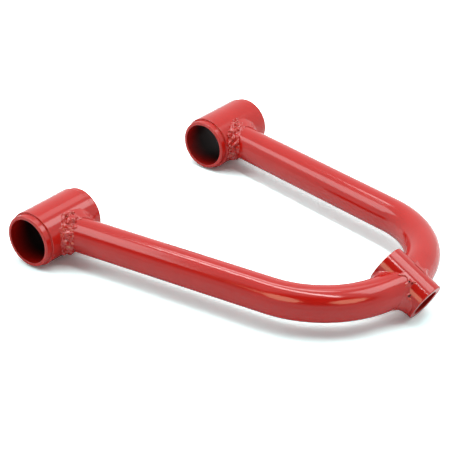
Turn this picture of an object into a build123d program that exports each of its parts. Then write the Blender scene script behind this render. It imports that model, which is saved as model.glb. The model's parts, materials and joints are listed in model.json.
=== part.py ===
"""Fabricated tubular control arm: two pivot sleeves, two bent legs, a tilted outer hub.

Frame, in millimetres: the origin is the middle of the pivot axis. +X runs along the pivot
axis towards the front sleeve, +Y outwards to the hub, +Z up. The arm lies level: the
undersides of both sleeves and the hub's lower rim touch one plane, z = -SLEEVE_OD / 2.
"""

from build123d import *

import os
from math import atan2, cos, degrees, radians, sin

# ---- Driving dimensions (mm, degrees) ----

# Pivot sleeves: 2 in tube with a 3/16 in wall, turned down a little at both ends.
SLEEVE_OD = 50.8
SLEEVE_BORE = 41.3
SLEEVE_LENGTH = 69.85
SLEEVE_CENTRES = 242.5
SHOULDER_OD = 47.6
SHOULDER_LENGTH = 6.35
SHOULDER_CHAMFER = 1.0
BODY_CHAMFER = 0.5
MOUTH_CHAMFER = 0.4

# Legs: 1 1/4 in tube with a 0.120 in wall, bent once.
LEG_OD = 31.75
LEG_WALL = 3.05
LEG_TOE_IN = 8.35  # each leg leans in from +Y by this much at its sleeve
LEG_END_TURN = 74.1  # and has turned in by this much where it meets the hub
LEG_BEND_RADIUS = 86.0
LEG_REACH = 294.0  # the two legs' centre lines cross this far out

# Outer hub: a short thick-walled tube, its outer end tilted down.
HUB_OD = 36.5
HUB_BORE = 25.4
HUB_LENGTH = 48.0
HUB_TILT = 26.5
HUB_REACH = 291.5
HUB_CHAMFER = 0.5

# Weld beads: length of the bead's face along each of the two tubes it joins.
SLEEVE_BEAD = 7.0
HUB_BEAD = 4.5

# ---- Worked out from the driving dimensions ----

# The hub's lower rim rests on the same plane as the sleeves.
hub_drop = HUB_LENGTH / 2 * sin(radians(HUB_TILT)) + HUB_OD / 2 * cos(radians(HUB_TILT))
hub_centre = Vector(0, HUB_REACH, hub_drop - SLEEVE_OD / 2)
hub_axis = Vector(0, cos(radians(HUB_TILT)), -sin(radians(HUB_TILT)))
hub_plane = Plane(origin=hub_centre, x_dir=(1, 0, 0), z_dir=hub_axis)

# Both legs lie in one plane, through the pivot axis and the hub's centre.
leg_rise = degrees(atan2(hub_centre.Z, HUB_REACH))
leg_plane = Plane.XY.rotated((leg_rise, 0, 0))

# The corner of a leg's two straight lines, before it is rounded by the bend.
toe, turn = radians(LEG_TOE_IN), radians(LEG_END_TURN)
half_centres = SLEEVE_CENTRES / 2
corner_run = (LEG_REACH * sin(turn) - half_centres * cos(turn)) / sin(turn - toe)
corner_x = half_centres - corner_run * sin(toe)
corner_y = corner_run * cos(toe)

SIDES = {"front": 1, "rear": -1}


def save(part, name):
    """Label a finished piece and write it to its own STEP file."""
    part.label = name
    export_step(part, f"parts/{name}.step")
    print(f"{name}: {part.volume:.0f} mm3")


def leg_route(side):
    """Centre line of one leg, from its sleeve's centre to the middle plane at the hub."""
    with BuildLine(leg_plane) as route:
        FilletPolyline(
            (side * half_centres, 0),
            (side * corner_x, corner_y),
            (0, LEG_REACH),
            radius=LEG_BEND_RADIUS,
        )
    return route.line


def start_plane(route):
    """Plane square to a route at its sleeve end."""
    return Plane(origin=route @ 0, z_dir=route % 0)


def closed_seam(route, host_plane, host_od, host_length, bead):
    """Flat-faced fillet weld all round a leg where it lands on a round host tube.

    The two tubes are joined as solid rounds, the corner between them is filled by a
    chamfer, and the rounds are taken away again, so only the filling is left.
    """
    with BuildPart() as seam:
        with BuildSketch(start_plane(route)):
            Circle(LEG_OD / 2)
        sweep(path=route)
        with BuildSketch(host_plane):
            Circle(host_od / 2)
        extrude(amount=host_length / 2, both=True)
        corners = [
            edge
            for edge in seam.edges()
            if edge.geom_type not in (GeomType.CIRCLE, GeomType.LINE)
        ]
        chamfer(corners, length=bead)
        with BuildSketch(start_plane(route)):
            Circle(LEG_OD / 2)
        sweep(path=route, mode=Mode.SUBTRACT)
        with BuildSketch(host_plane):
            Circle(host_od / 2)
        extrude(amount=host_length / 2, both=True, mode=Mode.SUBTRACT)
    return seam.part


os.makedirs("parts", exist_ok=True)

# ---- Pivot sleeves ----

for end, side in SIDES.items():
    middle = Plane.YZ.offset(side * half_centres)
    with BuildPart() as sleeve:
        with BuildSketch(middle):
            Circle(SHOULDER_OD / 2)
        extrude(amount=SLEEVE_LENGTH / 2, both=True)
        end_rims = sleeve.edges().filter_by(GeomType.CIRCLE)
        chamfer(end_rims, length=SHOULDER_CHAMFER)
        with BuildSketch(middle):
            Circle(SLEEVE_OD / 2)
        extrude(amount=SLEEVE_LENGTH / 2 - SHOULDER_LENGTH, both=True)
        body_rims = sleeve.edges().filter_by(GeomType.CIRCLE).group_by(SortBy.RADIUS)[-1]
        chamfer(body_rims, length=BODY_CHAMFER)
        with BuildSketch(middle):
            Circle(SLEEVE_BORE / 2)
        extrude(amount=SLEEVE_LENGTH / 2, both=True, mode=Mode.SUBTRACT)
        mouths = sleeve.edges().filter_by(GeomType.CIRCLE).group_by(SortBy.RADIUS)[0]
        chamfer(mouths, length=MOUTH_CHAMFER)
    save(sleeve.part, f"{end}_pivot_sleeve")

# ---- Legs: hollow, coped to lie on the sleeve and on the hub ----

for end, side in SIDES.items():
    route = leg_route(side)
    with BuildPart() as leg:
        with BuildSketch(start_plane(route)):
            Circle(LEG_OD / 2)
            Circle(LEG_OD / 2 - LEG_WALL, mode=Mode.SUBTRACT)
        sweep(path=route)
        with BuildSketch(Plane.YZ.offset(side * half_centres)):
            Circle(SLEEVE_OD / 2)
        extrude(amount=SLEEVE_LENGTH / 2, both=True, mode=Mode.SUBTRACT)
        with BuildSketch(hub_plane):
            Circle(HUB_OD / 2)
        extrude(amount=HUB_LENGTH / 2, both=True, mode=Mode.SUBTRACT)
    save(leg.part, f"{end}_leg_tube")

# ---- Outer hub ----

with BuildPart() as outer_hub:
    with BuildSketch(hub_plane):
        Circle(HUB_OD / 2)
        Circle(HUB_BORE / 2, mode=Mode.SUBTRACT)
    extrude(amount=HUB_LENGTH / 2, both=True)
    chamfer(outer_hub.edges().filter_by(GeomType.CIRCLE), length=HUB_CHAMFER)
save(outer_hub.part, "outer_hub")

# ---- Weld beads at the sleeves: a fore pass and an aft pass on each seam ----

for end, side in SIDES.items():
    route = leg_route(side)
    middle = Plane.YZ.offset(side * half_centres)
    seam = closed_seam(route, middle, SLEEVE_OD, SLEEVE_LENGTH, SLEEVE_BEAD)
    across = (route % 0).cross(leg_plane.z_dir)
    fore = across if across.X > 0 else -across
    for seam_pass, facing in (("fore", fore), ("aft", -fore)):
        with BuildPart() as bead:
            add(seam)
            split(bisect_by=Plane(origin=route @ 0, z_dir=facing))
        save(bead.part, f"{end}_sleeve_weld_{seam_pass}")

# ---- Weld beads at the hub: an outboard pass and an inboard pass on each seam ----

for end, side in SIDES.items():
    route = leg_route(side)
    seam = closed_seam(route, hub_plane, HUB_OD, HUB_LENGTH, HUB_BEAD)
    across = (route % 1).cross(leg_plane.z_dir)
    outboard = across if across.Y > 0 else -across
    for seam_pass, facing in (("outer", outboard), ("inner", -outboard)):
        with BuildPart() as bead:
            add(seam)
            split(bisect_by=Plane(origin=route @ 1, z_dir=facing))
        save(bead.part, f"{end}_hub_weld_{seam_pass}")
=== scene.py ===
# %% [markdown]
# # A welded tube control arm
# The real arm is a bare weldment: two short pivot sleeves, two bent legs and a tilted outer
# hub, all cut from round steel tube, joined by eight weld passes and then powder coated
# gloss red. The design model already fixes every size and place, so it is loaded first as a
# frame and is never moved. What the design model lacks is what a hand notices: rolled edges
# under the coat, lumpy beads, and tube walls that are truly round. Those are modelled here.

# %% Load the frame
import json
import random
from math import atan2, cos, pi, radians, sin, sqrt, tan

import bmesh
import bpy
from mathutils import Matrix, Quaternion, Vector, kdtree


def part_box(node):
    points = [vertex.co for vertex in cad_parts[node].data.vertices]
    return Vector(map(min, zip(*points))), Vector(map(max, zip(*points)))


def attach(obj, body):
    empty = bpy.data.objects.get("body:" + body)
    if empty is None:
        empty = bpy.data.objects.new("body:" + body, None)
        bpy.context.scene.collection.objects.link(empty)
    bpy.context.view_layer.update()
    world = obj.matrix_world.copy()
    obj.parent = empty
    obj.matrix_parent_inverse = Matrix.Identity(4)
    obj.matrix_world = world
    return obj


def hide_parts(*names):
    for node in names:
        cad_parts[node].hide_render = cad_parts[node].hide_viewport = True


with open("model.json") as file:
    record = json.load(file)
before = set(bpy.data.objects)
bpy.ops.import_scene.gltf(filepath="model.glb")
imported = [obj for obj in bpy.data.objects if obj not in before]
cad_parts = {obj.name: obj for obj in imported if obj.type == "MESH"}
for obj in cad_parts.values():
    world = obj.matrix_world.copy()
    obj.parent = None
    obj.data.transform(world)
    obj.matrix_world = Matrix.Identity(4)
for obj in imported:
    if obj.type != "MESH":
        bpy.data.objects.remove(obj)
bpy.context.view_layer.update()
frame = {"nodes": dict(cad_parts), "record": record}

# %% [markdown]
# ## Measures taken from the frame
# A maker would hold a caliper to the sleeves and the hub. Here the same measures are read
# from the record's bores and from the boxes of the nodes, so that a change in the design
# changes this scene too. Only the line of the bent legs has to be stated again, because a box
# doesn't say where a tube bends.

# %% Bores, sleeves and hub
MM = 0.001


def bore(name):
    """Middle, axis, radius and length of one of the record's bores, in metres."""
    found = next(m for m in frame["record"]["mounts"] if m["name"] == name)
    sizes = found["dims"]
    return (Vector(found["pos_m"]), Vector(found["axis"]),
            sizes["r_mm"] * MM, sizes["length_mm"] * MM)


sleeve_middle, pivot_axis, SLEEVE_BORE_R, SLEEVE_LENGTH = bore("front_bushing_bore")
hub_middle, hub_axis, HUB_BORE_R, HUB_LENGTH = bore("ball_joint_bore")
sleeve_low, sleeve_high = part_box("front_pivot_sleeve")
hub_low, hub_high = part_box("outer_hub")
SLEEVE_R = (sleeve_high.z - sleeve_low.z) / 2
HUB_R = (hub_high.x - hub_low.x) / 2
print("sleeve radius", round(SLEEVE_R, 5), "hub radius", round(HUB_R, 5))

# %% The line of a leg
LEG_R = 15.875 * MM
LEG_WALL = 3.05 * MM
LEG_BEND_R = 86.0 * MM
LEG_REACH = 294.0 * MM      # where the two legs' lines cross
TOE_IN = radians(8.35)      # a leg leans in by this at its sleeve
END_TURN = radians(74.1)    # and has turned in by this at the hub

leg_rise = atan2(hub_middle.z, hub_middle.y)
half_centres = sleeve_middle.x
corner_run = (LEG_REACH * sin(END_TURN) - half_centres * cos(END_TURN)) / sin(END_TURN - TOE_IN)
bend_run = LEG_BEND_R * tan((END_TURN - TOE_IN) / 2)
toe_heading = Vector((-sin(TOE_IN), cos(TOE_IN), 0))
end_heading = Vector((-sin(END_TURN), cos(END_TURN), 0))
corner = sleeve_middle + toe_heading * corner_run
bend_start = corner - toe_heading * bend_run
bend_centre = bend_start - Vector((cos(TOE_IN), sin(TOE_IN), 0)) * LEG_BEND_R
hub_run = (Vector((0, LEG_REACH, 0)) - corner).length - bend_run
print("straight at the sleeve", round(corner_run - bend_run, 4), "at the hub", round(hub_run, 4))

# %% [markdown]
# ## Camera
# A part like this is shown from a little above, with a long lens so that the near sleeve
# doesn't swell. The camera could be placed by hand and turned until it looks right. It is
# placed by an azimuth and an elevation round the arm instead, because those two angles can
# be read out and changed one at a time. A small roll levels the arm in the frame.

# %% Set the camera
CAMERA_AZIMUTH = radians(127.9)
CAMERA_ELEVATION = radians(30.12)
CAMERA_ROLL = radians(1.42)
CAMERA_DISTANCE = 1.511
CAMERA_LENS = 133.75
aim = Vector((0.0141, 0.1091, -0.0053))

back = Vector((sin(CAMERA_AZIMUTH) * cos(CAMERA_ELEVATION),
               -cos(CAMERA_AZIMUTH) * cos(CAMERA_ELEVATION),
               sin(CAMERA_ELEVATION)))
bpy.ops.object.camera_add(location=aim + back * CAMERA_DISTANCE)
camera = bpy.context.object
camera.name = "studio_camera"
camera.rotation_mode = "QUATERNION"
camera.rotation_quaternion = ((-back).to_track_quat("-Z", "Y")
                              @ Quaternion((0, 0, 1), CAMERA_ROLL))
camera.data.lens = CAMERA_LENS
camera.data.clip_end = 20.0
bpy.context.scene.camera = camera
print("camera at", [round(c, 3) for c in camera.location])

# %% [markdown]
# ## Operators that act on one piece
# Blender's operators act on everything that is selected, and loading the frame leaves its
# nodes selected. So each new piece is made the only selected object before it is worked on,
# and inside edit mode the faces or edges to work on are chosen by where they are.

# %% Selecting
def only(piece):
    """Make this the one selected and active object."""
    bpy.ops.object.select_all(action="DESELECT")
    piece.select_set(True)
    bpy.context.view_layer.objects.active = piece


def pick(kind, test):
    """In edit mode, select only the faces or the edges that pass the test."""
    bpy.ops.mesh.select_mode(type=kind)
    bpy.ops.mesh.select_all(action="DESELECT")
    mesh = bmesh.from_edit_mesh(bpy.context.edit_object.data)
    for item in {"FACE": mesh.faces, "EDGE": mesh.edges}[kind]:
        if test(item):
            item.select_set(True)
    mesh.select_flush_mode()
    bmesh.update_edit_mesh(bpy.context.edit_object.data)


def settle(piece):
    """Put the piece's place into its mesh, so that its object sits at the origin."""
    only(piece)
    bpy.ops.object.transform_apply(location=True, rotation=True, scale=True)


def finish_with(piece, kind, **settings):
    """Add one modifier with its settings and apply it."""
    only(piece)
    modifier = piece.modifiers.new(kind.lower(), kind)
    for name, value in settings.items():
        setattr(modifier, name, value)
    bpy.ops.object.modifier_apply(modifier=modifier.name)


bpy.ops.object.select_all(action="DESELECT")

# %% [markdown]
# ## Turned tubes: the sleeves and the hub
# On the bench a sleeve is a length of tube in the lathe: its ends are faced, a shoulder is
# turned on each end, and the mouths are broken with a scraper. The same could be had by
# spinning a half section. A cylinder whose end faces are inset and pushed out is closer to
# the lathe, and each cut can be seen in turn. The edges are then rounded, because a powder
# coat that melts and flows never leaves a sharp corner.

# %% A tube from a cylinder
NEARLY = 0.02 * MM          # two places closer than this count as one


def solid_round(name, middle, axis, radius, length, sides=128):
    """A closed cylinder, in its place in the frame."""
    bpy.ops.object.select_all(action="DESELECT")
    bpy.ops.mesh.primitive_cylinder_add(
        vertices=sides, radius=radius, depth=length, location=middle,
        rotation=axis.to_track_quat("Z", "Y").to_euler())
    piece = bpy.context.object
    piece.name = name
    settle(piece)
    return piece


def pick_ends(axis):
    """Select the two end faces."""
    pick("FACE", lambda face: abs(face.normal.dot(axis)) > 0.99 and len(face.verts) > 4)


def pick_rims(middle, axis, radius, along):
    """Select the rings of edges at this radius and at this distance either way along."""
    def on_ring(edge):
        for vert in edge.verts:
            arm = vert.co - middle
            run = arm.dot(axis)
            if abs(abs(run) - along) > NEARLY:
                return False
            if abs((arm - axis * run).length - radius) > NEARLY:
                return False
        return True
    pick("EDGE", on_ring)


def round_rims(middle, axis, radius, along, width):
    """Roll over the rings that pick_rims finds."""
    pick_rims(middle, axis, radius, along)
    bpy.ops.mesh.bevel(offset=width, segments=4, profile=0.5, affect="EDGES")


# %% Turn one sleeve
SHOULDER_R = 23.8 * MM
SHOULDER_LENGTH = 6.35 * MM
BODY_ROLL = 0.7 * MM
SHOULDER_ROOT = 0.35 * MM
SHOULDER_ROLL = 1.3 * MM
MOUTH_ROLL = 0.6 * MM
body_half = SLEEVE_LENGTH / 2 - SHOULDER_LENGTH

front_sleeve = solid_round("front_sleeve", sleeve_middle, pivot_axis, SLEEVE_R, 2 * body_half)
bpy.ops.object.mode_set(mode="EDIT")
pick_ends(pivot_axis)
bpy.ops.mesh.inset(thickness=SLEEVE_R - SHOULDER_R)
bpy.ops.mesh.inset(thickness=0, depth=SHOULDER_LENGTH)
bpy.ops.mesh.inset(thickness=SHOULDER_R - SLEEVE_BORE_R)
bpy.ops.mesh.bridge_edge_loops()
round_rims(sleeve_middle, pivot_axis, SLEEVE_R, body_half, BODY_ROLL)
round_rims(sleeve_middle, pivot_axis, SHOULDER_R, body_half, SHOULDER_ROOT)
round_rims(sleeve_middle, pivot_axis, SHOULDER_R, SLEEVE_LENGTH / 2, SHOULDER_ROLL)
round_rims(sleeve_middle, pivot_axis, SLEEVE_BORE_R, SLEEVE_LENGTH / 2, MOUTH_ROLL)
bpy.ops.object.mode_set(mode="OBJECT")
print("sleeve", len(front_sleeve.data.polygons), "faces")

# %% Turn the hub
HUB_ROLL = 0.8 * MM

hub = solid_round("hub", hub_middle, hub_axis, HUB_R, HUB_LENGTH)
bpy.ops.object.mode_set(mode="EDIT")
pick_ends(hub_axis)
bpy.ops.mesh.inset(thickness=HUB_R - HUB_BORE_R)
bpy.ops.mesh.bridge_edge_loops()
round_rims(hub_middle, hub_axis, HUB_R, HUB_LENGTH / 2, HUB_ROLL)
round_rims(hub_middle, hub_axis, HUB_BORE_R, HUB_LENGTH / 2, MOUTH_ROLL)
bpy.ops.object.mode_set(mode="OBJECT")
print("hub", len(hub.data.polygons), "faces")

# %% Smooth the turned tubes
SMOOTH_BELOW = radians(40)  # corners sharper than this stay sharp


def smooth_turned(piece):
    """Smooth shading whose flats stay flat next to the rolled edges."""
    only(piece)
    bpy.ops.object.shade_smooth_by_angle(angle=SMOOTH_BELOW)
    finish_with(piece, "WEIGHTED_NORMAL", keep_sharp=True, weight=80)


smooth_turned(front_sleeve)
smooth_turned(hub)

# %% [markdown]
# ## The rear sleeve
# Both sleeves come off the same bar to the same drawing. So the second is the first one
# copied, with a mesh of its own, and slid along the pivot axis.

# %% Copy the sleeve
only(front_sleeve)
bpy.ops.object.duplicate()
rear_sleeve = bpy.context.object
rear_sleeve.name = "rear_sleeve"
rear_sleeve.location.x = -2 * sleeve_middle.x
settle(rear_sleeve)
print("rear sleeve at x", round(min(v.co.x for v in rear_sleeve.data.vertices), 4))

# %% [markdown]
# ## Bent legs
# A leg is a length of drawn tube, pulled round a former once and then notched at both ends
# so that it sits on the curve of the sleeve and of the hub. A curve with a round bevel would
# give the bend, but not the wall. So a ring is pushed along the straight, spun through the
# bend and pushed on to the hub, the way the tube itself travels; the wall is given its
# thickness, and two scratch rounds notch the ends.

# %% Draw the tube along its line
bpy.ops.object.select_all(action="DESELECT")
bpy.ops.mesh.primitive_circle_add(
    vertices=96, radius=LEG_R, fill_type="NOTHING", location=sleeve_middle,
    rotation=(-pi / 2, 0, TOE_IN))
front_leg = bpy.context.object
front_leg.name = "front_leg"
settle(front_leg)
bpy.ops.object.mode_set(mode="EDIT")
bpy.ops.mesh.select_mode(type="EDGE")
bpy.ops.mesh.select_all(action="SELECT")
bpy.ops.mesh.extrude_edges_move(
    TRANSFORM_OT_translate={"value": toe_heading * (corner_run - bend_run)})
bpy.ops.mesh.spin(steps=48, angle=TOE_IN - END_TURN, center=bend_centre, axis=(0, 0, 1))
bpy.ops.mesh.extrude_edges_move(TRANSFORM_OT_translate={"value": end_heading * hub_run})
bpy.ops.mesh.select_all(action="SELECT")
bpy.ops.mesh.remove_doubles(threshold=0.01 * MM)
bpy.ops.mesh.normals_make_consistent(inside=False)
bpy.ops.object.mode_set(mode="OBJECT")
front_leg.rotation_euler.x = leg_rise
settle(front_leg)
print("leg ends at x", round(min(v.co.x for v in front_leg.data.vertices), 4))

# %% Give it a wall and notch it
finish_with(front_leg, "SOLIDIFY", thickness=LEG_WALL, offset=-1)
for middle, axis, radius, length in ((sleeve_middle, pivot_axis, SLEEVE_R, SLEEVE_LENGTH),
                                     (hub_middle, hub_axis, HUB_R, HUB_LENGTH)):
    notch = solid_round("notch", middle, axis, radius, length)
    finish_with(front_leg, "BOOLEAN", operation="DIFFERENCE", object=notch, solver="EXACT")
    bpy.data.objects.remove(notch)
only(front_leg)
bpy.ops.object.shade_smooth_by_angle(angle=SMOOTH_BELOW)
print("leg", len(front_leg.data.polygons), "faces")

# %% Mirror it for the rear
only(front_leg)
bpy.ops.object.duplicate()
rear_leg = bpy.context.object
rear_leg.name = "rear_leg"
rear_leg.scale.x = -1
settle(rear_leg)
bpy.ops.object.mode_set(mode="EDIT")
bpy.ops.mesh.select_all(action="SELECT")
bpy.ops.mesh.normals_make_consistent(inside=False)
bpy.ops.object.mode_set(mode="OBJECT")
print("rear leg", len(rear_leg.data.polygons), "faces")

# %% [markdown]
# ## Weld passes
# A weld bead is a row of small pools of steel, each frozen over the edge of the last. It
# could be faked with a bump pattern on a smooth fillet, but a lumpy bead also shows in its
# outline. So each pass starts from a copy of the fillet that the design keeps for it, pools
# are set along its face, and one skin is drawn over all of them and relaxed, much as the
# coat flows over the real bead. The passes a welder can reach easily are quick and rough;
# the others are slow and nearly flat.

# %% Where the seam runs
def tilted(vector):
    """A direction drawn on the level, in the legs' slightly rising plane."""
    return Matrix.Rotation(leg_rise, 3, "X") @ vector


def on_side(vector, side):
    """The same vector on the front (+1) or the rear (-1) of the arm."""
    return Vector((vector.x * side, vector.y, vector.z))


UP = tilted(Vector((0, 0, 1)))


class Seam:
    """The closed line where a leg lands on a round host tube, and the fillet over it."""

    def __init__(self, inside, outward, host_middle, host_axis, host_radius, facing, size,
                 flare, flare_turn):
        self.inside, self.outward = inside, outward
        self.host_middle, self.host_axis, self.host_radius = host_middle, host_axis, host_radius
        across = outward.cross(UP)
        self.facing = across if across.dot(facing) > 0 else -across
        self.size, self.flare, self.flare_turn = size, flare, flare_turn

    def at(self, turn):
        """Place on the seam, and the two ways off it: along the leg and along the host.

        A turn of 0 is the side that faces, pi / 2 the top and pi the far side.
        """
        leg_out = self.facing * cos(turn) + UP * sin(turn)
        arm = self.inside + leg_out * LEG_R - self.host_middle
        arm_flat = arm - self.host_axis * arm.dot(self.host_axis)
        way_flat = self.outward - self.host_axis * self.outward.dot(self.host_axis)
        a, b = way_flat.length_squared, arm_flat.dot(way_flat)
        c = arm_flat.length_squared - self.host_radius ** 2
        run = (-b + sqrt(b * b - a * c)) / a
        host_out = (arm_flat + way_flat * run).normalized()
        place = self.inside + leg_out * LEG_R + self.outward * run
        return place, self.outward, (leg_out - host_out * leg_out.dot(host_out)).normalized()

    def spread(self, turn):
        """How far the bead reaches along each tube. It flares on the side worked last."""
        return self.size + self.flare * max(0, cos(turn - self.flare_turn))

    def face(self, turn, across, lift=0.0):
        """Place on the bead's flat face, from 0 at its toe on the leg to 1 on the host."""
        place, leg_way, host_way = self.at(turn)
        spread = self.spread(turn)
        return (place + leg_way * spread * (1 - across) + host_way * spread * across
                + (leg_way + host_way).normalized() * lift)

    def hollow(self, turn, fullness):
        """Middle and radius of the round that hollows the fillet's face at this turn.

        A fullness of 1 makes the face run smoothly into both tubes, and more is flatter.
        """
        leg_way, host_way = self.at(turn)[1:]
        half_angle = leg_way.angle(host_way) / 2
        radius = fullness * self.spread(turn) * tan(half_angle)
        lift = sqrt(radius ** 2 - (self.spread(turn) * sin(half_angle)) ** 2)
        return self.face(turn, 0.5, lift), radius


SLEEVE_FILLET = 7.0 * MM
SLEEVE_FLARE = 2.0 * MM
SLEEVE_FLARE_TURN = 0.9
HUB_FILLET = 4.5 * MM
HUB_FLARE = 3.5 * MM
HUB_FLARE_TURN = -0.8


def sleeve_seam(side):
    """Seam between a leg and its sleeve; its turns count from the forward side."""
    return Seam(on_side(sleeve_middle, side), on_side(tilted(toe_heading), side),
                on_side(sleeve_middle, side), pivot_axis, SLEEVE_R, Vector((1, 0, 0)),
                SLEEVE_FILLET, SLEEVE_FLARE, SLEEVE_FLARE_TURN)


def hub_seam(side):
    """Seam between a leg and the hub; its turns count from the outboard side."""
    return Seam(tilted(Vector((0, LEG_REACH, 0))), on_side(-tilted(end_heading), side),
                hub_middle, hub_axis, HUB_R, Vector((0, 1, 0)),
                HUB_FILLET, HUB_FLARE, HUB_FLARE_TURN)


print("top of the front seam", [round(c, 4) for c in sleeve_seam(1).face(pi / 2, 0.5)])

# %% Set pools on the fillet
PACKING_R = 2.6 * MM


def steps(first, last, count):
    """Evenly spaced turns, both ends included."""
    return [first + (last - first) * step / (count - 1) for step in range(count)]


def pool(place, radius):
    """One frozen pool, a ball sunk in the fillet."""
    bpy.ops.object.select_all(action="DESELECT")
    bpy.ops.mesh.primitive_ico_sphere_add(subdivisions=2, radius=radius, location=place)
    return bpy.context.object


def fill(seam, first, last):
    """Pools packed under the bead's flat face, where it flares past the design's fillet."""
    packing = []
    for turn in steps(first, last, 20):
        for across in (0.1, 0.35, 0.6, 0.85):
            packing.append(pool(seam.face(turn, across, -PACKING_R), PACKING_R))
    return packing


def lay_row(seam, turns, across, radius, proud, draw):
    """Pools at these turns, all about as far across the face, each a bit out of line."""
    row = []
    for turn in turns:
        size = radius * draw.uniform(0.8, 1.2)
        row.append(pool(seam.face(turn + draw.uniform(-0.06, 0.06),
                                  across + draw.uniform(-0.12, 0.12), proud - size), size))
    return row


# %% Draw one skin over a pass
def merge(bead, pools, voxel):
    """One skin over the bead and its pools."""
    only(bead)
    for ball in pools:
        ball.select_set(True)
    if pools:
        bpy.ops.object.join()
    settle(bead)
    finish_with(bead, "REMESH", mode="VOXEL", voxel_size=voxel)


def run_round_tool(bead, seam, fullness):
    """Push the bead's skin back from a round tool that follows the seam."""
    stops = [seam.hollow(turn, fullness) for turn in steps(-pi, pi, 181)]
    nearest = kdtree.KDTree(len(stops))
    for number, (middle, radius) in enumerate(stops):
        nearest.insert(middle, number)
    nearest.balance()
    for vert in bead.data.vertices:
        middle, number, distance = nearest.find(vert.co)
        if distance < stops[number][1]:
            vert.co = middle + (vert.co - middle).normalized() * stops[number][1]


def lay_bead(name, node, seam, fullness, packing, pools, voxel, relax):
    """The design's fillet, packed out and hollowed, with its pools under one skin."""
    bead = bpy.data.objects.new(name, frame["nodes"][node].data.copy())
    bpy.context.scene.collection.objects.link(bead)
    only(bead)
    bpy.ops.object.mode_set(mode="EDIT")
    bpy.ops.mesh.select_all(action="SELECT")
    bpy.ops.mesh.remove_doubles(threshold=0.005 * MM)
    bpy.ops.object.mode_set(mode="OBJECT")
    merge(bead, packing, voxel)
    run_round_tool(bead, seam, fullness)
    if pools:
        merge(bead, pools, voxel)
    finish_with(bead, "SMOOTH", factor=0.5, iterations=relax)
    only(bead)
    bpy.ops.object.shade_smooth()
    return bead


def add_lumps(bead, size, height, swell=0.0, edges="SOFT_NOISE"):
    """Lumps of this size and height, and an even swelling of the whole bead.

    Hard-edged noise makes pebbles with creases between them.
    """
    lumps = bpy.data.textures.new(bead.name + "_lumps", "CLOUDS")
    lumps.noise_scale = size
    lumps.noise_depth = 0
    lumps.noise_type = edges
    finish_with(bead, "DISPLACE", texture=lumps, texture_coords="LOCAL",
                strength=height, mid_level=0.5 - swell / height)


# %% Passes at the sleeves
FORE_FULLNESS, FORE_VOXEL = 1.5, 0.38 * MM
AFT_FULLNESS, CALM_VOXEL = 1.15, 0.45 * MM
beads = {}
for end, side in (("front", 1), ("rear", -1)):
    seam, draw = sleeve_seam(side), random.Random(20 + side)
    rough = []
    for across in (0.2, 0.55, 0.85):
        rough += lay_row(seam, steps(-1.0, 1.6, 9), across, 2.6 * MM, 0.2 * MM, draw)
    fore = lay_bead(f"{end}_sleeve_bead_fore", f"{end}_sleeve_weld_fore", seam, FORE_FULLNESS,
                    fill(seam, -1.5, 1.57), rough, FORE_VOXEL, 3)
    add_lumps(fore, 5.0 * MM, 2.9 * MM, 0.35 * MM, "HARD_NOISE")
    aft = lay_bead(f"{end}_sleeve_bead_aft", f"{end}_sleeve_weld_aft", seam, AFT_FULLNESS,
                   [], [], CALM_VOXEL, 4)
    add_lumps(aft, 8.0 * MM, 0.4 * MM, 0.25 * MM)
    beads[fore.name], beads[aft.name] = fore, aft
print(len(beads), "passes at the sleeves")

# %% Passes at the hub
HUB_FULLNESS, HUB_VOXEL = 1.05, 0.36 * MM
for end, side in (("front", 1), ("rear", -1)):
    seam, draw = hub_seam(side), random.Random(40 + side)
    row = lay_row(seam, steps(-0.9, 0.1, 5), 0.6, 1.6 * MM, -1.9 * MM, draw)
    outer = lay_bead(f"{end}_hub_bead_outer", f"{end}_hub_weld_outer", seam, HUB_FULLNESS,
                     fill(seam, -1.6, 0.6), row, HUB_VOXEL, 4)
    add_lumps(outer, 4.0 * MM, 0.3 * MM, 0.35 * MM)
    inner = lay_bead(f"{end}_hub_bead_inner", f"{end}_hub_weld_inner", seam, HUB_FULLNESS,
                     [], [], CALM_VOXEL, 4)
    add_lumps(inner, 5.0 * MM, 0.3 * MM, 0.15 * MM)
    beads[outer.name], beads[inner.name] = outer, inner
print(len(beads), "passes in all,", sum(len(b.data.polygons) for b in beads.values()), "faces")

# %% [markdown]
# ## Gas pores
# Where the shielding gas was blown off the pool, the bead froze with bubbles in it, and the
# coat can't bridge the larger ones. A dark spot in the colour would look flat from the side,
# so each pore is a small ball cut out of the bead, and its inside is coloured dark as painted
# shade.

# %% Drill the pores
# Turn and place across the face of each pore.
PORES = ((0.8, 0.3), (0.7, 0.6), (0.6, 0.78), (0.47, 0.5), (0.46, 0.74), (0.36, 0.6),
         (0.22, 0.62), (0.2, 0.8), (0.15, 0.45))
PORE_DEPTH = 0.2 * MM       # from the skin to the middle of a pore
PORE_RADII = (0.85, 1.35)   # least and most, in millimetres
draw = random.Random(7)
seam = hub_seam(1)
pored = beads["front_hub_bead_outer"]
pores = []
for turn, across in PORES:
    on_skin, normal = pored.closest_point_on_mesh(seam.face(turn, across))[1:3]
    place = on_skin - normal * PORE_DEPTH
    radius = draw.uniform(*PORE_RADII) * MM
    pore = pool(place, radius)
    finish_with(pored, "BOOLEAN", operation="DIFFERENCE", object=pore, solver="EXACT")
    bpy.data.objects.remove(pore)
    pores.append((place, radius))
print(len(PORES), "pores")

# %% [markdown]
# ## Finishes
# Everything is under one coat: a polyester powder, sprayed dry and baked until it flows. It
# is a smooth, hard plastic skin, so the shader is a plain dielectric with a deep red base
# and a low roughness, and the only relief is the faint orange peel that the melt leaves.

# %% Nodes and colours
def linear(hex_colour):
    """An sRGB hex colour as the linear RGBA that shaders work in."""
    parts = [int(hex_colour[i:i + 2], 16) / 255 for i in (0, 2, 4)]
    return (*(p / 12.92 if p <= 0.04045 else ((p + 0.055) / 1.055) ** 2.4 for p in parts), 1)


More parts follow.
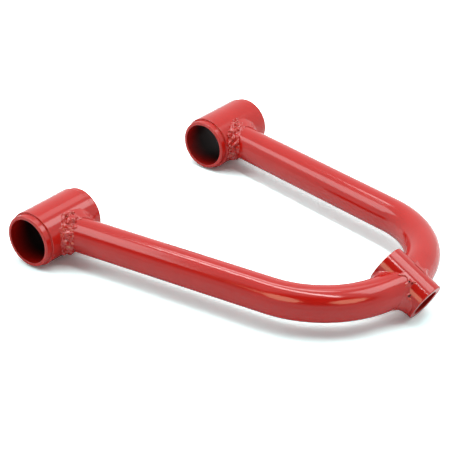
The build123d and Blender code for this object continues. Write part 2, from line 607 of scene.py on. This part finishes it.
def add_node(material, kind, settings=None, inputs=None):
    """Add a node, set its own settings, and give each input a value or a link."""
    tree = material.node_tree
    node = tree.nodes.new(kind)
    for name, value in (settings or {}).items():
        setattr(node, name, value)
    for name, value in (inputs or {}).items():
        if isinstance(value, bpy.types.NodeSocket):
            tree.links.new(value, node.inputs[name])
        else:
            node.inputs[name].default_value = value
    return node


def new_finish(name):
    """An empty material and its Principled shader."""
    finish = bpy.data.materials.new(name)
    finish.use_nodes = True
    return finish, finish.node_tree.nodes["Principled BSDF"]


# %% Gloss red powder coat
COAT_RED = "ad160e"
COAT_DEEP = "a11007"
COAT_IOR = 1.5
PEEL_SIZE = 2.6 * MM        # orange peel is 1 to 3 mm from crest to crest
MOTTLE_SIZE = 18 * MM       # the gun's passes leave slow changes of film thickness


def powder_coat(name, peel_height, roughness, specular=0.5):
    """Baked polyester powder: a wet-looking red whose reflections waver a little."""
    finish, shader = new_finish(name)
    place = add_node(finish, "ShaderNodeTexCoord").outputs["Object"]
    mottle = add_node(finish, "ShaderNodeTexNoise", {},
                      {"Vector": place, "Scale": 1 / MOTTLE_SIZE, "Detail": 2.0})
    colour = add_node(finish, "ShaderNodeMix", {"data_type": "RGBA"},
                      {0: mottle.outputs["Fac"], 6: linear(COAT_RED), 7: linear(COAT_DEEP)})
    peel = add_node(finish, "ShaderNodeTexNoise", {},
                    {"Vector": place, "Scale": 1 / PEEL_SIZE, "Detail": 1.5,
                     "Roughness": 0.45})
    relief = add_node(finish, "ShaderNodeBump", {},
                      {"Height": peel.outputs["Fac"], "Strength": 1.0, "Distance": peel_height})
    finish.node_tree.links.new(colour.outputs[2], shader.inputs["Base Color"])
    finish.node_tree.links.new(relief.outputs["Normal"], shader.inputs["Normal"])
    shader.inputs["Roughness"].default_value = roughness
    shader.inputs["IOR"].default_value = COAT_IOR
    shader.inputs["Specular IOR Level"].default_value = specular
    return finish


tube_coat = powder_coat("gloss_red_powder_coat", 0.03 * MM, 0.13)
bead_coat = powder_coat("gloss_red_powder_coat_on_weld", 0.04 * MM, 0.08, 0.7)

# %% Coat and painted shade inside a bore
# Bore colours: a darker red at the mouth, partly thin coat and partly painted shade, and near
# black deep in the bore as painted shade.
THIN_COAT_AND_SHADE_RED = "8e0d07"
DEEP_BORE_SHADE = "160303"
# Dark red-brown for inside the pores, painted shade.
PORE_SHADE = "3a0806"


def bore_coat_and_shade(name, middle, axis, mouth_run, specular):
    """Powder hardly reaches down a narrow bore, so the red is darker at the mouth, partly thin
    coat and partly painted shade, and goes to near black deeper in as painted shade.
    """
    finish, shader = new_finish(name)
    place = add_node(finish, "ShaderNodeTexCoord").outputs["Object"]
    arm = add_node(finish, "ShaderNodeVectorMath", {"operation": "SUBTRACT"},
                   {0: place, 1: middle})
    run = add_node(finish, "ShaderNodeVectorMath", {"operation": "DOT_PRODUCT"},
                   {0: arm.outputs[0], 1: axis})
    depth = add_node(finish, "ShaderNodeMath", {"operation": "ABSOLUTE"},
                     {0: run.outputs["Value"]})
    # Mask: 1 at the mouths, 0 deep in the bore, where the painted shade is darkest.
    coat_and_light_mask = add_node(finish, "ShaderNodeMapRange", {"interpolation_type": "SMOOTHSTEP"},
                     {"Value": depth.outputs[0], "From Min": mouth_run * 0.35,
                      "From Max": mouth_run * 1.02})
    colour = add_node(finish, "ShaderNodeMix", {"data_type": "RGBA"},
                      {0: coat_and_light_mask.outputs[0], 6: linear(DEEP_BORE_SHADE), 7: linear(THIN_COAT_AND_SHADE_RED)})
    finish.node_tree.links.new(colour.outputs[2], shader.inputs["Base Color"])
    shader.inputs["Roughness"].default_value = 0.4
    shader.inputs["Specular IOR Level"].default_value = specular
    return finish


# Each bore gets its coat with painted shade that deepens away from the mouths.
front_bore_coat_and_shade = bore_coat_and_shade("thin_coat_in_front_bore", sleeve_middle, pivot_axis,
                            SLEEVE_LENGTH / 2, 0.05)
rear_bore_coat_and_shade = bore_coat_and_shade("thin_coat_in_rear_bore", on_side(sleeve_middle, -1), pivot_axis,
                           SLEEVE_LENGTH / 2, 0.2)
hub_bore_coat_and_shade = bore_coat_and_shade("thin_coat_in_hub_bore", hub_middle, hub_axis, HUB_LENGTH / 2, 0.1)
# The pores' dark inside colour is painted shade.
pore_shade, shader = new_finish("painted_shade_in_pores")
shader.inputs["Base Color"].default_value = linear(PORE_SHADE)
shader.inputs["Roughness"].default_value = 0.8
print(len(bpy.data.materials), "materials")

# %% Give the finishes to the pieces
def dress(piece, outside, inside=None, middle=None, axis=None, bore_radius=0):
    """Outside coat all over, and the bore's own coat, darkened with painted shade, on the faces
    inside it.
    """
    piece.data.materials.clear()
    piece.data.materials.append(outside)
    if inside is None:
        return
    piece.data.materials.append(inside)
    for face in piece.data.polygons:
        arm = face.center - middle
        reach = (arm - axis * arm.dot(axis)).length
        face.material_index = int(reach < bore_radius + NEARLY)


# The bores' faces get the darkened coat with painted shade.
dress(front_sleeve, tube_coat, front_bore_coat_and_shade, sleeve_middle, pivot_axis, SLEEVE_BORE_R)
dress(rear_sleeve, tube_coat, rear_bore_coat_and_shade, on_side(sleeve_middle, -1), pivot_axis,
      SLEEVE_BORE_R)
dress(hub, tube_coat, hub_bore_coat_and_shade, hub_middle, hub_axis, HUB_BORE_R)
dress(front_leg, tube_coat)
dress(rear_leg, tube_coat)
for bead in beads.values():
    dress(bead, bead_coat)
# Faces inside the pores take the dark painted shade.
pored.data.materials.append(pore_shade)
for face in pored.data.polygons:
    inside = any((face.center - place).length < radius + NEARLY for place, radius in pores)
    face.material_index = int(inside)

# %% [markdown]
# ## Who stands for what
# Each piece rides on the one rigid body of the arm and stands for its node of the design,
# whose own mesh is hidden.

# %% Tie the pieces to the frame
def stand_for(piece, node):
    """The piece rides on the arm and replaces its design node, which is hidden."""
    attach(piece, "root")
    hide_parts(node)


stand_for(front_sleeve, "front_pivot_sleeve")
stand_for(rear_sleeve, "rear_pivot_sleeve")
stand_for(front_leg, "front_leg_tube")
stand_for(rear_leg, "rear_leg_tube")
stand_for(hub, "outer_hub")
for name, bead in beads.items():
    stand_for(bead, name.replace("_bead_", "_weld_"))

# %% [markdown]
# ## Studio
# The arm lies on a white sweep. A glossy coat shows its surroundings, so they matter as much
# as the light they give: a pale room all round that is dark behind the camera, wide soft
# boxes left, right and behind, two bright strips overhead, and two warm lamps on the
# camera's side.

# %% Floor
bpy.ops.object.select_all(action="DESELECT")
bpy.ops.mesh.primitive_plane_add(size=8.0, location=(0, 0.15, sleeve_low.z))
floor = bpy.context.object
floor.name = "studio_floor"
settle(floor)
floor_paper = bpy.data.materials.new("white_sweep_paper")
floor_paper.use_nodes = True
floor_paper.node_tree.nodes.clear()
PAPER = (0.75, 0.75, 0.75, 1)           # what the paper gives back to the arm
PAPER_SHOWN = (1.14, 1.46, 1.46, 1)     # overexposed, so that the paper goes pure white
straight = add_node(floor_paper, "ShaderNodeLightPath").outputs["Is Camera Ray"]
tone = add_node(floor_paper, "ShaderNodeMix", {"data_type": "RGBA"},
                {0: straight, 6: PAPER, 7: PAPER_SHOWN})
paper = add_node(floor_paper, "ShaderNodeBsdfDiffuse", {}, {"Color": tone.outputs[2]})
add_node(floor_paper, "ShaderNodeOutputMaterial", {}, {"Surface": paper.outputs[0]})
floor.data.materials.append(floor_paper)

# %% Room
def way_to(azimuth, elevation):
    """The direction at this azimuth from the camera's, in degrees, and this elevation."""
    a, e = CAMERA_AZIMUTH + radians(azimuth), radians(elevation)
    return Vector((sin(a) * cos(e), -cos(a) * cos(e), sin(e)))


ROOM_LEVEL = 1.05
DARK_LEVEL = 0.08
DARK_WAY = way_to(-5, 10)
DARK_EDGE = (0.35, 0.55)                        # cosines of the angle from that way
DARK_RISE = (sin(radians(12)), sin(radians(30)))  # it fades out towards the floor
room = bpy.data.worlds.new("studio_room")
bpy.context.scene.world = room
room.use_nodes = True
background = room.node_tree.nodes["Background"]
seen = add_node(room, "ShaderNodeTexCoord").outputs["Generated"]
frontness = add_node(room, "ShaderNodeVectorMath", {"operation": "DOT_PRODUCT"},
                     {0: seen, 1: DARK_WAY})
height = add_node(room, "ShaderNodeVectorMath", {"operation": "DOT_PRODUCT"},
                  {0: seen, 1: (0, 0, 1)})
in_front = add_node(room, "ShaderNodeMapRange", {"interpolation_type": "SMOOTHSTEP"},
                    {"Value": frontness.outputs["Value"], "From Min": DARK_EDGE[0],
                     "From Max": DARK_EDGE[1]})
raised = add_node(room, "ShaderNodeMapRange", {"interpolation_type": "SMOOTHSTEP"},
                  {"Value": height.outputs["Value"], "From Min": DARK_RISE[0],
                   "From Max": DARK_RISE[1]})
darkness = add_node(room, "ShaderNodeMath", {"operation": "MULTIPLY"},
                    {0: in_front.outputs[0], 1: raised.outputs[0]})
shade = add_node(room, "ShaderNodeMapRange", {},
                 {"Value": darkness.outputs[0], "To Min": ROOM_LEVEL, "To Max": DARK_LEVEL})
room.node_tree.links.new(shade.outputs[0], background.inputs["Strength"])
background.inputs["Color"].default_value = (1, 1, 1, 1)

# %% Lights over the table
BOX_HEIGHT = 1.2


def box_light(name, place, turned, wide, high, level, shape="RECTANGLE", tint="ffffff"):
    """A flat light of this size whose face has this radiance."""
    bpy.ops.object.light_add(type="AREA", location=place)
    light = bpy.context.object
    light.name = name
    light.rotation_mode = "QUATERNION"
    light.rotation_quaternion = turned
    light.data.shape = shape
    light.data.size = wide
    light.data.size_y = high
    face_area = wide * high * (pi / 4 if shape == "ELLIPSE" else 1)
    light.data.energy = level * pi * face_area
    light.data.color = linear(tint)[:3]


DOWN = Quaternion()
ASKEW = Quaternion((0, 0, 1), radians(-10.7))
box_light("long_strip", (0.04, 0.06, BOX_HEIGHT), ASKEW, 0.1, 1.32, 16.0)
box_light("side_strip", (-0.39, -0.28, BOX_HEIGHT), DOWN, 0.16, 0.75, 8.0)
box_light("side_box", (-0.78, -0.15, BOX_HEIGHT), DOWN, 0.4, 0.5, 1.4)
box_light("left_box", (0.8, -1.0, BOX_HEIGHT), DOWN, 1.2, 1.07, 3.2)
box_light("back_box", (-0.76, 0.78, BOX_HEIGHT), DOWN, 1.1, 0.74, 3.8)

# %% Warm lamps near the camera
LAMP_AIM = Vector((0.08, 0.25, 0))
LAMP_DISTANCE = 2.0
LAMP_TINT = "ffe6c0"


def lamp(name, azimuth, elevation, wide, high, level):
    """A warm oval lamp that faces the arm, at angles from the camera's own."""
    way = way_to(azimuth, elevation)
    box_light(name, LAMP_AIM + way * LAMP_DISTANCE, (-way).to_track_quat("-Z", "Y"),
              wide, high, level, "ELLIPSE", LAMP_TINT)
    bpy.context.object.visible_diffuse = False      # it shows only in the gloss


lamp("left_lamp", -39, 36, 1.2, 0.95, 4.6)
lamp("right_lamp", 33, 38, 1.1, 0.8, 4.6)
bpy.context.scene.view_settings.view_transform = "Standard"
